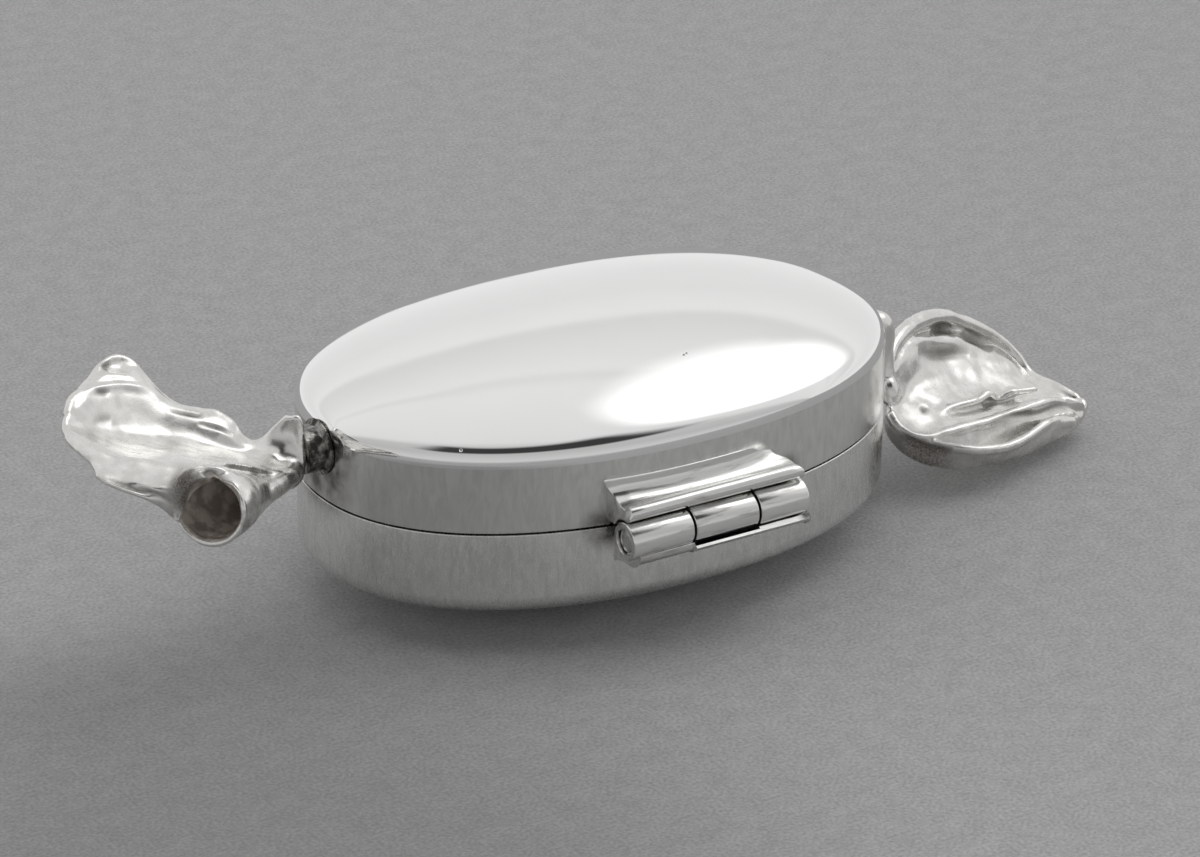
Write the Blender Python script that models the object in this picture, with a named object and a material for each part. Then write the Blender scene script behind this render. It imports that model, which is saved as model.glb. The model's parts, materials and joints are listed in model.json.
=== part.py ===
# Sweet box: a small oval silver box with a hinged lid, shaped as a wrapped sweet,
# with a cast wrapper end on a short stem at each end of the lid.
# Metres, +Z up, +X along the box, -Y the hinge side.
# The origin is the middle of the flat rest pad under the base.

import math

import bmesh
import bpy
from mathutils import Vector

# Oval body, shared by the base and the lid
body_half_length = 0.0200
body_half_width = 0.01355
oval_power = 2.17
oval_segments = 64
wall_thickness = 0.0009
plate_thickness = 0.0006
solder_gap = 0.00005

# Base
base_wall_height = 0.0043
base_edge_radius = 0.0012
base_dome_rise = 0.0031
rest_pad_half_length = 0.0064

# Lid
lid_wall_height = 0.00445
lid_crown_height = 0.0050
split_gap = 0.00012

# Outer face of the lid's crown, from the wall to the middle:
# inset as a share of the half width, height as a share of the crown's
lid_crown_shares = (
    (0, 0), (0.002, 0.076), (0.017, 0.178), (0.039, 0.258), (0.074, 0.332), (0.148, 0.453),
    (0.251, 0.583), (0.40, 0.732), (0.56, 0.857), (0.74, 0.949), (0.88, 0.99),
)

# Inner rim that the lid closes over
rim_thickness = 0.0005
rim_clearance = 0.00012
rim_depth = 0.0024
rim_stand = 0.0013
rim_chamfer = 0.0002

# Hinge: its axis runs along X, just outside the wall and just under the split
hinge_offset = 0.00132
hinge_drop = 0.0002
hinge_left = -0.0071
left_knuckle_length = 0.0044
middle_knuckle_length = 0.0046
right_knuckle_length = 0.0036
knuckle_gap = 0.00015
knuckle_radius = 0.00122
knuckle_chamfer = 0.00008
bore_radius = 0.00068
pin_radius = 0.00060
pin_recess = 0.00010
round_segments = 24

# Hinge bearers: the coved plates that carry the knuckles on the two walls
trough_clearance = 0.00020
trough_thickness = 0.00030
trough_lip_angle = math.radians(-40)
base_bearer_depth = 0.0023
base_bearer_inset = 0.0005
lid_bearer_height = 0.0031
bearer_edge = 0.0002
lid_bearer_clearance = 0.00015
cove_reach_inset = 0.0001
bead_radius = 0.00047
bead_clearance = 0.00014
bead_angle = math.radians(85)
bearer_slant = 0.0014
cove_steps = 8
arc_step = math.radians(12)
seat_end_angle = math.radians(150)
bead_start_angle = math.radians(150)

# Stems that carry the wrapper ends on the lid wall
stem_radius = 0.0015
stem_length = 0.0014
left_stem_height = 0.0035
right_stem_height = 0.0020
stem_fillet = 0.0003
stem_fillet_foot = 0.0001

# Wrapper ends
wrapper_length = 0.0162
wrapper_half_width = 0.0080
wrapper_rise = 0.0060
wrapper_thickness = 0.0007
fold_height = 0.0010
neck_half_width = 0.0015
neck_half_height = 0.0020
neck_lift = 0.0005
neck_length = 0.0010
neck_profile_shares = ((0, 0.86), (0.18, 1), (0.6, 0.96), (1, 0.66))
sheet_rows = 12
sheet_columns = 17

# Flute at the front of the left wrapper end
flute_mouth_radius = 0.00215
flute_neck_radius = 0.0009
flute_wall = 0.00045
flute_depth = 0.0062
flute_steps = 6
flute_swell_share = 0.8
heading_step_share = 0.02

# Rings of the base plate, in from its edge
dome_shares = (0.88, 0.74, 0.57, 0.37)
inner_dome_shares = (0.80, 0.50)
fillet_sweep = math.radians(68)
fillet_steps = 3

# One overrun serves all cuts
cut_overrun = 0.0010

# Faces that meet at less than these angles are shaded as one surface
body_smooth_angle = math.radians(35)
bearer_smooth_angle = math.radians(30)
sheet_smooth_angle = math.radians(60)

# Silver is a touch warmer than neutral grey
silver_blue_share = 0.98


def base_plate_drop(share):
    """How far the base plate's outer face lies under the wall, at a share of the dome's size."""
    dome_foot = base_edge_radius * math.sin(fillet_sweep)
    return dome_foot + (base_edge_radius - dome_foot) * (1 - share) + base_dome_rise * (1 - share ** 2)


# Levels and joint places that follow from the sizes above
base_plate_inset = base_edge_radius * (1 - math.cos(fillet_sweep))
pad_share = rest_pad_half_length / (body_half_length - base_plate_inset)
base_wall_foot = base_plate_drop(pad_share)
split_level = base_wall_foot + base_wall_height
lid_foot = split_level + split_gap
lid_wall_top = split_level + lid_wall_height
hinge_axis = Vector((0, -(body_half_width + hinge_offset), split_level - hinge_drop))
stem_levels = {-1: split_level + left_stem_height, 1: split_level + right_stem_height}
stem_end = body_half_length + stem_length
hinge_length = left_knuckle_length + middle_knuckle_length + right_knuckle_length + 2 * knuckle_gap


# Scene, materials and mesh helpers

def clear_scene():
    for thing in list(bpy.data.objects):
        bpy.data.objects.remove(thing, do_unlink=True)


def silver(name, tone, roughness):
    material = bpy.data.materials.new(name)
    material.use_nodes = True
    shader = material.node_tree.nodes["Principled BSDF"]
    shader.inputs["Base Color"].default_value = (tone, tone, tone * silver_blue_share, 1)
    shader.inputs["Metallic"].default_value = 1
    shader.inputs["Roughness"].default_value = roughness
    return material


def finish_mesh(name, shape, smooth_angle=body_smooth_angle):
    bmesh.ops.recalc_face_normals(shape, faces=shape.faces)
    mesh = bpy.data.meshes.new(name)
    shape.to_mesh(mesh)
    shape.free()
    mesh.shade_smooth()
    mesh.set_sharp_from_angle(angle=smooth_angle)
    return mesh


def place(name, mesh, location, carrier=None, material=None):
    """Put a mesh in the scene at a world location, carried by another object if one is given."""
    piece = bpy.data.objects.new(name, mesh)
    bpy.context.scene.collection.objects.link(piece)
    piece.location = Vector(location)
    if carrier is not None:
        piece.parent = carrier
        piece.location = Vector(location) - carrier.location
    if material is not None:
        mesh.materials.append(material)
    return piece


def as_cutter(piece):
    piece.hide_render = True
    piece.display_type = "WIRE"
    return piece


def boolean(piece, other, operation):
    cut = piece.modifiers.new(operation.title() + " " + other.name, "BOOLEAN")
    cut.operation = operation
    cut.solver = "EXACT"
    cut.object = other


def loft(name, rings, closed=False):
    """Skin over rings. A closed loft returns to its first ring, an open one is capped at its ends."""
    shape = bmesh.new()
    loops = [[shape.verts.new(point) for point in ring] for ring in rings]
    pairs = list(zip(loops, loops[1:]))
    if closed:
        pairs.append((loops[-1], loops[0]))
    for near, far in pairs:
        for index in range(len(near)):
            shape.faces.new((near[index - 1], near[index], far[index], far[index - 1]))
    if not closed:
        shape.faces.new(loops[0])
        shape.faces.new(reversed(loops[-1]))
    return finish_mesh(name, shape)


def oval(half_length, half_width, height):
    """Level ring in the body's oval form."""
    ring = []
    for step in range(oval_segments):
        angle = 2 * math.pi * step / oval_segments
        across = math.copysign(abs(math.cos(angle)) ** (2 / oval_power), math.cos(angle))
        along = math.copysign(abs(math.sin(angle)) ** (2 / oval_power), math.sin(angle))
        ring.append((half_length * across, half_width * along, height))
    return ring


def oval_ring(inset, height, share=1):
    """Ring of the body's oval, set in from the outer face and then drawn in to a share of its size."""
    return oval((body_half_length - inset) * share, (body_half_width - inset) * share, height)


def crown_ring(inset, height):
    """Ring set in evenly near the edge, and in proportion towards the middle."""
    stretch = 1 + (body_half_length / body_half_width - 1) * inset / body_half_width
    return oval(body_half_length - inset * stretch, body_half_width - inset, height)


def round_ring(radius, along):
    """Ring about the X axis."""
    turns = [2 * math.pi * step / round_segments for step in range(round_segments)]
    return [(along, radius * math.cos(turn), radius * math.sin(turn)) for turn in turns]


# Walls, plates and inner rim

def band_mesh(name, inset, thickness, height):
    rings = [
        oval_ring(inset, 0),
        oval_ring(inset, height),
        oval_ring(inset + thickness, height),
        oval_ring(inset + thickness, 0),
    ]
    return loft(name, rings, closed=True)


def base_plate_mesh(name):
    """Domed plate with a rounded edge, from the wall's foot at height 0 down to the rest pad."""
    inside_foot = base_edge_radius - plate_thickness
    rings = []
    for share in (pad_share, *reversed(inner_dome_shares), 1):
        drop = inside_foot + base_dome_rise * (1 - share ** 2)
        rings.append(oval_ring(wall_thickness, -drop, share))
    rings.append(oval_ring(wall_thickness, 0))
    for step in range(fillet_steps + 1):
        angle = fillet_sweep * step / fillet_steps
        inset = base_edge_radius * (1 - math.cos(angle))
        rings.append(oval_ring(inset, -base_edge_radius * math.sin(angle)))
    for share in (*dome_shares, pad_share):
        rings.append(oval_ring(base_plate_inset, -base_plate_drop(share), share))
    return loft(name, rings)


def crown_mesh(name):
    """Pillowed plate of the lid. Its foot, at height 0, seats on the wall."""
    outside = []
    for inset_share, height_share in lid_crown_shares:
        outside.append((inset_share * body_half_width, height_share * lid_crown_height))
    inside = [(inset, height - plate_thickness) for inset, height in outside if inset > wall_thickness][::2]
    rings = [crown_ring(inset, height) for inset, height in reversed(inside)]
    rings.append(oval_ring(wall_thickness, inside[0][1]))
    rings.append(oval_ring(wall_thickness, 0))
    rings += [crown_ring(inset, height) for inset, height in outside]
    return loft(name, rings)


def rim_mesh(name):
    outer = wall_thickness + rim_clearance
    inner = outer + rim_thickness
    height = rim_depth + rim_stand
    rings = [
        oval_ring(outer, 0),
        oval_ring(outer, height - rim_chamfer),
        oval_ring(outer + rim_chamfer, height),
        oval_ring(inner, height),
        oval_ring(inner, 0),
    ]
    return loft(name, rings, closed=True)


def oval_cutter(name, inset, foot, top, carrier=None):
    """Solid oval that trims a piece to the curve of the wall."""
    mesh = loft(name, [oval_ring(inset, 0), oval_ring(inset, top - foot)])
    return as_cutter(place(name, mesh, (0, 0, foot), carrier))


# Hinge

def tube_mesh(name, length):
    bite = knuckle_chamfer
    rings = [
        round_ring(bore_radius, 0),
        round_ring(knuckle_radius - bite, 0),
        round_ring(knuckle_radius, bite),
        round_ring(knuckle_radius, length - bite),
        round_ring(knuckle_radius - bite, length),
        round_ring(bore_radius, length),
    ]
    return loft(name, rings, closed=True)


def pin_mesh(name, length):
    bite = knuckle_chamfer
    rings = [
        round_ring(pin_radius - bite, 0),
        round_ring(pin_radius, bite),
        round_ring(pin_radius, length - bite),
        round_ring(pin_radius - bite, length),
    ]
    return loft(name, rings)


def arc(radius, start, end):
    """Points about the hinge axis, as (outward, up)."""
    steps = max(2, math.ceil(abs(end - start) / arc_step))
    angles = [start + (end - start) * step / steps for step in range(steps + 1)]
    return [(radius * math.cos(angle), radius * math.sin(angle)) for angle in angles]


def cove(reach, level, edge_level):
    """Hollow quarter sweep from the wall out to a given reach, as (outward, up)."""
    edge = bearer_edge - hinge_offset
    points = []
    for step in range(cove_steps + 1):
        angle = math.pi / 2 * step / cove_steps
        outward = reach - (reach - edge) * math.cos(angle)
        points.append((outward, edge_level + (level - edge_level) * math.sin(angle)))
    return points


def bearer_mesh(name, profile, length, slant_from=None, slant_to=None):
    """Profile drawn across the hinge and extruded along it; the right end may lean in towards one level."""
    shape = bmesh.new()
    corners = [shape.verts.new((0, -outward, up)) for outward, up in profile]
    face = shape.faces.new(corners)
    pulled = bmesh.ops.extrude_face_region(shape, geom=[face])
    moved = [item for item in pulled["geom"] if isinstance(item, bmesh.types.BMVert)]
    bmesh.ops.translate(shape, verts=moved, vec=(length, 0, 0))
    if slant_from is not None:
        for corner in moved:
            lean = (corner.co.z - slant_from) / (slant_to - slant_from)
            corner.co.x -= bearer_slant * max(0, lean)
    return finish_mesh(name, shape, bearer_smooth_angle)


def base_bearer_profile():
    inner = knuckle_radius + solder_gap
    outer = knuckle_radius + trough_clearance + trough_thickness
    behind = hinge_offset + cut_overrun
    foot = hinge_drop - base_bearer_depth
    start = -math.pi / 2 - math.asin(cove_reach_inset / outer)
    points = [(-behind, foot)]
    points += cove(-cove_reach_inset, outer * math.sin(start), foot)[:-1]
    points += arc(outer, start, trough_lip_angle)
    points += arc(inner, trough_lip_angle, -seat_end_angle)
    points.append((-behind, -inner * math.sin(seat_end_angle)))
    return points


def lid_bearer_profile():
    inner = knuckle_radius + solder_gap
    bead_reach = knuckle_radius + bead_clearance + bead_radius
    behind = hinge_offset + cut_overrun
    top = lid_bearer_height + hinge_drop
    centre = (bead_reach * math.cos(bead_angle), bead_reach * math.sin(bead_angle))
    bead = [(centre[0] + outward, centre[1] + up) for outward, up in arc(bead_radius, bead_start_angle, -bead_angle)]
    points = [(-behind, top)]
    points += cove(bead[0][0], bead[0][1], top)
    points += bead[1:]
    points += arc(inner, bead_angle + arc_step, seat_end_angle)
    points.append((-behind, inner * math.sin(seat_end_angle)))
    return points


def relief_cutter(name, start, end, clearance, carrier=None):
    """Round cutter about the hinge axis that frees a knuckle turning past the bearer."""
    mesh = loft(name, [round_ring(knuckle_radius + clearance, 0), round_ring(knuckle_radius + clearance, end - start)])
    return as_cutter(place(name, mesh, hinge_axis + Vector((start, 0, 0)), carrier))


# Wrapper ends

def curve_point(points, place_along):
    """Point on the smooth curve that passes through all the given points."""
    last = len(points) - 1
    index = min(int(place_along * last), last - 1)
    part = place_along * last - index
    before = points[max(index - 1, 0)]
    start = points[index]
    end = points[index + 1]
    after = points[min(index + 2, last)]
    return 0.5 * (
        2 * start
        + (end - before) * part
        + (2 * before - 5 * start + 4 * end - after) * part ** 2
        + (3 * start - before - 3 * end + after) * part ** 3
    )


def wrapper_place(side, shares):
    """World place of a point given in shares of the wrapper's length, half width and rise."""
    along, across, up = shares
    return Vector((
        side * (stem_end + along * wrapper_length),
        across * wrapper_half_width,
        stem_levels[side] + up * wrapper_rise,
    ))


def wrapper_sheet(name, side, station_shares, fold_shares):
    """Sheet that runs from the neck to the tip. Each station spans from its back rim to its front rim,
    and the folds give its cross section."""
    stations = []
    for back_shares, front_shares, sag_share, fold_share in station_shares:
        back = wrapper_place(side, back_shares)
        front = wrapper_place(side, front_shares)
        row = []
        for across_share, dish_share, ridge_share in fold_shares:
            drop = sag_share * dish_share * wrapper_rise
            lift = fold_share * ridge_share * fold_height
            row.append(back.lerp(front, across_share) + Vector((0, 0, lift - drop)))
        stations.append(row)
    shape = bmesh.new()
    grid = bmesh.ops.create_grid(shape, x_segments=sheet_columns - 1, y_segments=sheet_rows - 1, size=1)
    for corner in grid["verts"]:
        across = (corner.co.x + 1) / 2
        along = (corner.co.y + 1) / 2
        corner.co = curve_point([curve_point(row, across) for row in stations], along)
    return finish_mesh(name, shape, sheet_smooth_angle)


def neck_mesh(name, side):
    """Oval root of a wrapper end, with a flat face for the stem."""
    rings = []
    for along_share, size_share in neck_profile_shares:
        ring = []
        for step in range(round_segments):
            turn = 2 * math.pi * step / round_segments
            ring.append((
                side * along_share * neck_length,
                neck_half_width * size_share * math.cos(turn),
                neck_half_height * size_share * math.sin(turn),
            ))
        rings.append(ring)
    return loft(name, rings)


def horn_mesh(name, start, end, start_radius, end_radius, bow):
    """Round horn between two places, swelling to its mouth."""
    middle = (start + end) / 2 + bow
    line = [start, middle, end]
    rings = []
    for step in range(flute_steps + 1):
        share = step / flute_steps
        centre = curve_point(line, share)
        ahead = curve_point(line, min(share + heading_step_share, 1))
        behind = curve_point(line, max(share - heading_step_share, 0))
        turn_to = (ahead - behind).to_track_quat("Z", "Y")
        radius = start_radius + (end_radius - start_radius) * share ** flute_swell_share
        ring = []
        for part in range(round_segments):
            turn = 2 * math.pi * part / round_segments
            ring.append(centre + turn_to @ Vector((radius * math.cos(turn), radius * math.sin(turn), 0)))
        rings.append(ring)
    return loft(name, rings)


def shape_wrapper(piece):
    wall = piece.modifiers.new("Casting thickness", "SOLIDIFY")
    wall.thickness = wrapper_thickness
    wall.offset = 0
    rounding = piece.modifiers.new("Rounded rims", "SUBSURF")
    rounding.levels = 1
    rounding.render_levels = 1


# Outline of the left wrapper end: back rim, front rim, sag, fold
left_station_shares = (
    ((0.03, 0.14, 0.33), (0.03, -0.14, 0.23), 0.32, 0),
    ((0.16, 0.20, 0.07), (0.17, -0.32, 0.18), 0.30, 0.2),
    ((0.29, 0.40, 0.43), (0.36, -0.61, 0.30), 0.45, 0.5),
    ((0.36, 0.58, 0.42), (0.60, -0.85, 0.58), 0.50, 0.8),
    ((0.44, 0.75, 0.68), (0.72, -0.75, 0.30), 0.42, 1),
    ((0.55, 0.88, 1.05), (0.80, -0.57, 0.42), 0.42, 1),
    ((0.68, 0.70, 0.93), (0.88, -0.39, 0.52), 0.32, 0.8),
    ((0.82, 0.52, 0.86), (0.95, -0.14, 0.65), 0.18, 0.5),
    ((0.90, 0.35, 0.82), (0.94, 0.10, 0.76), 0.06, 0.2),
)
left_fold_shares = (
    (0, 0, 0), (0.07, 0.25, -0.5), (0.14, 0.40, 0.3), (0.24, 0.75, -0.1), (0.38, 0.96, 0),
    (0.52, 1, 0), (0.66, 0.9, 0), (0.78, 0.68, 0.15), (0.88, 0.45, -0.1), (1, 0, 0),
)

# Outline of the right wrapper end
right_station_shares = (
    ((0.03, 0.12, 0.20), (0.02, -0.12, -0.07), 0.25, 0),
    ((0.10, 0.19, -0.13), (0.01, -0.22, -0.47), 0.12, 0.3),
    ((0.23, 0.30, -0.15), (0.00, -0.46, -0.88), 0.12, 0.6),
    ((0.50, 0.54, -0.28), (0.06, -0.74, -1.13), 0.22, 1),
    ((0.73, 0.69, -0.63), (0.22, -0.86, -1.15), 0.28, 1),
    ((0.88, 0.58, -0.88), (0.43, -0.82, -1.23), 0.26, 1),
    ((0.98, 0.42, -1.17), (0.64, -0.69, -1.23), 0.20, 1),
    ((1.04, 0.16, -1.30), (0.86, -0.56, -1.40), 0.10, 0.7),
    ((1.07, -0.09, -1.43), (1.01, -0.36, -1.50), 0.03, 0.3),
)
right_fold_shares = (
    (0, 0, 0), (0.05, 0.2, -0.6), (0.11, 0.35, 0.3), (0.2, 0.8, -0.1), (0.35, 1, 0), (0.5, 1, 0),
    (0.64, 0.85, 0), (0.74, 0.4, 0.5), (0.8, 0.3, -0.2), (0.87, 0.1, 0.6), (0.93, 0.1, -0.7), (1, 0, 0),
)
flute_start_shares = (0.10, -0.12, -0.08)
flute_mouth_shares = (0.62, -0.90, 0.25)


# Pieces

def build_base():
    wall_tone = silver("base_wall silver", 0.80, 0.16)
    wall = band_mesh("base_wall", 0, wall_thickness, base_wall_height - solder_gap)
    place("base_wall", wall, (0, 0, base_wall_foot + solder_gap), material=wall_tone)
    bottom = base_plate_mesh("base_bottom")
    place("base_bottom", bottom, (0, 0, base_wall_foot), material=silver("base_bottom silver", 0.80, 0.18))
    rim_tone = silver("inner_rim silver", 0.86, 0.12)
    place("inner_rim", rim_mesh("inner_rim"), (0, 0, split_level - rim_depth), material=rim_tone)


def build_lid(pivot):
    wall = band_mesh("lid_wall", 0, wall_thickness, lid_wall_top - lid_foot - solder_gap)
    place("lid_wall", wall, (0, 0, lid_foot), pivot, silver("lid_wall silver", 0.82, 0.14))
    dome = crown_mesh("lid_dome")
    place("lid_dome", dome, (0, 0, lid_wall_top), pivot, silver("lid_dome silver", 0.90, 0.06))


def build_hinge(pivot):
    middle = hinge_left + left_knuckle_length + knuckle_gap
    right = middle + middle_knuckle_length + knuckle_gap
    knuckles = (
        ("base_knuckle_left", hinge_left, left_knuckle_length, None),
        ("lid_knuckle", middle, middle_knuckle_length, pivot),
        ("base_knuckle_right", right, right_knuckle_length, None),
    )
    for name, start, length, carrier in knuckles:
        seat = hinge_axis + Vector((start, 0, 0))
        place(name, tube_mesh(name, length), seat, carrier, silver(name + " silver", 0.86, 0.10))
    pin_seat = hinge_axis + Vector((hinge_left + pin_recess, 0, 0))
    pin = pin_mesh("hinge_pin", hinge_length - 2 * pin_recess)
    place("hinge_pin", pin, pin_seat, material=silver("hinge_pin silver", 0.74, 0.2))

    trough = bearer_mesh("base_hinge_bearer", base_bearer_profile(), hinge_length - base_bearer_inset)
    trough_seat = hinge_axis + Vector((hinge_left + base_bearer_inset, 0, 0))
    trough_tone = silver("base_hinge_bearer silver", 0.80, 0.14)
    base_bearer = place("base_hinge_bearer", trough, trough_seat, material=trough_tone)
    base_cutter = oval_cutter("base wall trim", -solder_gap, -cut_overrun, split_level + cut_overrun)
    boolean(base_bearer, base_cutter, "DIFFERENCE")
    middle_relief = relief_cutter("middle relief", middle - knuckle_gap, right, trough_clearance)
    boolean(base_bearer, middle_relief, "DIFFERENCE")

    top = lid_bearer_height + hinge_drop
    flange = bearer_mesh(
        "lid_hinge_bearer", lid_bearer_profile(), hinge_length, knuckle_radius + bead_radius, top
    )
    flange_seat = hinge_axis + Vector((hinge_left, 0, 0))
    flange_tone = silver("lid_hinge_bearer silver", 0.86, 0.12)
    lid_bearer = place("lid_hinge_bearer", flange, flange_seat, pivot, flange_tone)
    lid_cutter = oval_cutter("lid wall trim", -solder_gap, -cut_overrun, lid_wall_top + cut_overrun, pivot)
    boolean(lid_bearer, lid_cutter, "DIFFERENCE")
    hinge_right = hinge_left + hinge_length
    outer_spans = (
        ("left relief", hinge_left - cut_overrun, middle),
        ("right relief", right - knuckle_gap, hinge_right + cut_overrun),
    )
    for name, start, end in outer_spans:
        boolean(lid_bearer, relief_cutter(name, start, end, lid_bearer_clearance, pivot), "DIFFERENCE")
    return lid_cutter


def build_stem(name, side, pivot, lid_cutter):
    root = body_half_length - cut_overrun
    rings = [
        round_ring(stem_radius + stem_fillet, side * root),
        round_ring(stem_radius + stem_fillet, side * (body_half_length + stem_fillet_foot)),
        round_ring(stem_radius, side * (body_half_length + stem_fillet)),
        round_ring(stem_radius, side * stem_end),
    ]
    stem = place(name, loft(name, rings), (0, 0, stem_levels[side]), pivot, silver(name + " silver", 0.62, 0.3))
    boolean(stem, lid_cutter, "DIFFERENCE")


def build_wrapper(name, side, pivot, station_shares, fold_shares):
    mesh = wrapper_sheet(name, side, station_shares, fold_shares)
    piece = place(name, mesh, (0, 0, 0), pivot, silver(name + " silver", 0.90, 0.16))
    shape_wrapper(piece)
    neck_seat = (side * (stem_end + solder_gap), 0, stem_levels[side] - side * neck_lift)
    neck = as_cutter(place(name + " neck", neck_mesh(name + " neck", side), neck_seat, pivot))
    boolean(piece, neck, "UNION")
    return piece


def build_flute(piece, pivot):
    start = wrapper_place(-1, flute_start_shares)
    mouth = wrapper_place(-1, flute_mouth_shares)
    bow = Vector((0, 0, -flute_wall))
    horn = horn_mesh("left flute", start, mouth, flute_neck_radius, flute_mouth_radius, bow)
    boolean(piece, as_cutter(place("left flute", horn, (0, 0, 0), pivot)), "UNION")
    heading = (mouth - start).normalized()
    bore_start = mouth - heading * flute_depth
    bore_end = mouth + heading * cut_overrun
    bore_narrow = flute_neck_radius - flute_wall
    bore = horn_mesh("left flute bore", bore_start, bore_end, bore_narrow, flute_mouth_radius - flute_wall, bow)
    boolean(piece, as_cutter(place("left flute bore", bore, (0, 0, 0), pivot)), "DIFFERENCE")


def build_sweet_box():
    clear_scene()
    pivot = bpy.data.objects.new("lid_pivot", None)
    bpy.context.scene.collection.objects.link(pivot)
    pivot.location = hinge_axis
    build_base()
    build_lid(pivot)
    lid_cutter = build_hinge(pivot)
    build_stem("left_stem", -1, pivot, lid_cutter)
    build_stem("right_stem", 1, pivot, lid_cutter)
    left = build_wrapper("left_wrapper", -1, pivot, left_station_shares, left_fold_shares)
    build_flute(left, pivot)
    build_wrapper("right_wrapper", 1, pivot, right_station_shares, right_fold_shares)


build_sweet_box()
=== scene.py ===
# The sweet box, dressed for its photograph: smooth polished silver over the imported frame.
# Metres, +Z up, in the frame's own axes: +X along the box, -Y the hinge side.

import json
import math

import bpy
import numpy as np
from mathutils import Matrix, Vector, noise


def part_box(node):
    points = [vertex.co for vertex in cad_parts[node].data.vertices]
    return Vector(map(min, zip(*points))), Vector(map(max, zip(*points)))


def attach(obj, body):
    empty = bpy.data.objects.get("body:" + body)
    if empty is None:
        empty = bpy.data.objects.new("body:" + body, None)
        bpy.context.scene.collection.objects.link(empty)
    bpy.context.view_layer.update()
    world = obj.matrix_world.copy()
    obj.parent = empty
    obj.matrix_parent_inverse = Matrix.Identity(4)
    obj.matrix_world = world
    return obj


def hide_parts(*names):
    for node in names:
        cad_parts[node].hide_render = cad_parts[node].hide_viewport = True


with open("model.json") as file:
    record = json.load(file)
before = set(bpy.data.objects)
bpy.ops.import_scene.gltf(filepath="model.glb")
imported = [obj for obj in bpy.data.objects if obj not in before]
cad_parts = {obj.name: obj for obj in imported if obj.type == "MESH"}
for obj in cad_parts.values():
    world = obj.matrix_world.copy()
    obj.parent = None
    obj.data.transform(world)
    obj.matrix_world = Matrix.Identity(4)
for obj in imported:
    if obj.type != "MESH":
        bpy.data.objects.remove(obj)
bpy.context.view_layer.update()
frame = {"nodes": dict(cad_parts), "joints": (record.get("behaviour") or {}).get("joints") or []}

# Levels and sizes that the frame gives
half_length, half_width, split_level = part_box("base_wall")[1]
lid_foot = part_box("lid_wall")[0].z
lid_wall_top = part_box("lid_dome")[0].z
base_wall_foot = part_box("base_bottom")[1].z
hinge_axis = Vector(frame["joints"][0]["pos_m"])

# Sizes of the silversmith's work, in metres and radians
oval_power = 2.17
wall_thickness = 0.0009
edge_softness = 0.00007
base_edge_radius = 0.0012
base_edge_sweep = math.radians(68)
pad_half_length = 0.0064
plate_thickness = 0.0006
floor_sag = 0.0031
rim_thickness = 0.0005
rim_softness = 0.0002
floor_flat_share = 0.16
# Corners closer than this are one
same_place = 1e-7
quarter = [math.radians(degrees) for degrees in (0, 30, 60, 90)]


# Colours and nodes

def srgb(code):
    """A #rrggbb colour as linear RGBA."""
    channels = [int(code[at:at + 2], 16) / 255 for at in (1, 3, 5)]
    linear = [c / 12.92 if c <= 0.04045 else ((c + 0.055) / 1.055) ** 2.4 for c in channels]
    return (*linear, 1)


def feed(tree, node, inputs):
    """Gives a node's sockets their values, or links them to where the values come from."""
    for name, value in inputs.items():
        if isinstance(value, bpy.types.NodeSocket):
            tree.links.new(value, node.inputs[name])
        else:
            node.inputs[name].default_value = value


def add(tree, kind, inputs=None, **settings):
    """Adds a shader node, with its settings and what feeds its sockets."""
    node = tree.nodes.new("ShaderNode" + kind)
    for name, value in settings.items():
        setattr(node, name, value)
    feed(tree, node, inputs or {})
    return node


# Mesh helpers

def pick(*pieces):
    """Selects the pieces and makes the first of them the active one."""
    bpy.ops.object.select_all(action="DESELECT")
    for piece in pieces:
        piece.select_set(True)
    bpy.context.view_layer.objects.active = pieces[0]


def circle(corners, radius=1, fill="NGON", name="part"):
    """A new circle on the ground plane, the only thing selected."""
    bpy.ops.mesh.primitive_circle_add(vertices=corners, radius=radius, fill_type=fill)
    bpy.context.object.name = name
    return bpy.context.object


def edit_all():
    """Opens the active piece in edit mode, with everything selected."""
    bpy.ops.object.mode_set(mode="EDIT")
    bpy.ops.mesh.select_all(action="SELECT")


def extrude_up(height):
    bpy.ops.mesh.extrude_region_move(TRANSFORM_OT_translate={"value": (0, 0, height)})


def leave_edit():
    bpy.ops.object.mode_set(mode="OBJECT")


def prism(corners, levels, name="part"):
    """A closed prism of radius one with a ring of corners at every whole height, to be shaped."""
    piece = circle(corners, name=name)
    edit_all()
    for _ in range(levels):
        extrude_up(1)
    leave_edit()
    return piece


def face_outwards():
    """Turns the active piece's faces outwards."""
    edit_all()
    bpy.ops.mesh.normals_make_consistent(inside=False)
    leave_edit()


def with_modifier(piece, name, kind, **settings):
    """Hands the active piece back with a modifier applied."""
    modifier = piece.modifiers.new(name, kind)
    for setting, value in settings.items():
        setattr(modifier, setting, value)
    bpy.ops.object.modifier_apply(modifier=name)
    return piece


def oval_start(name, inset, height):
    """A circle pushed out to the body's fuller oval, left in edit mode with its outline selected."""
    piece = circle(256, 1, "NOTHING", name)
    for corner in piece.data.vertices:
        x, y, _ = corner.co
        corner.co = (
            (half_length - inset) * math.copysign(abs(x) ** (2 / oval_power), x),
            (half_width - inset) * math.copysign(abs(y) ** (2 / oval_power), y),
            height,
        )
    edit_all()
    return piece


def pick_edge(piece, level):
    """Leaves only the corners at a level of the piece selected."""
    bpy.ops.mesh.select_all(action="DESELECT")
    leave_edit()
    for corner in piece.data.vertices:
        corner.select = abs(corner.co.z - level) < same_place
    bpy.ops.object.mode_set(mode="EDIT")
    bpy.ops.mesh.select_mode(type="VERT")


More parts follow.
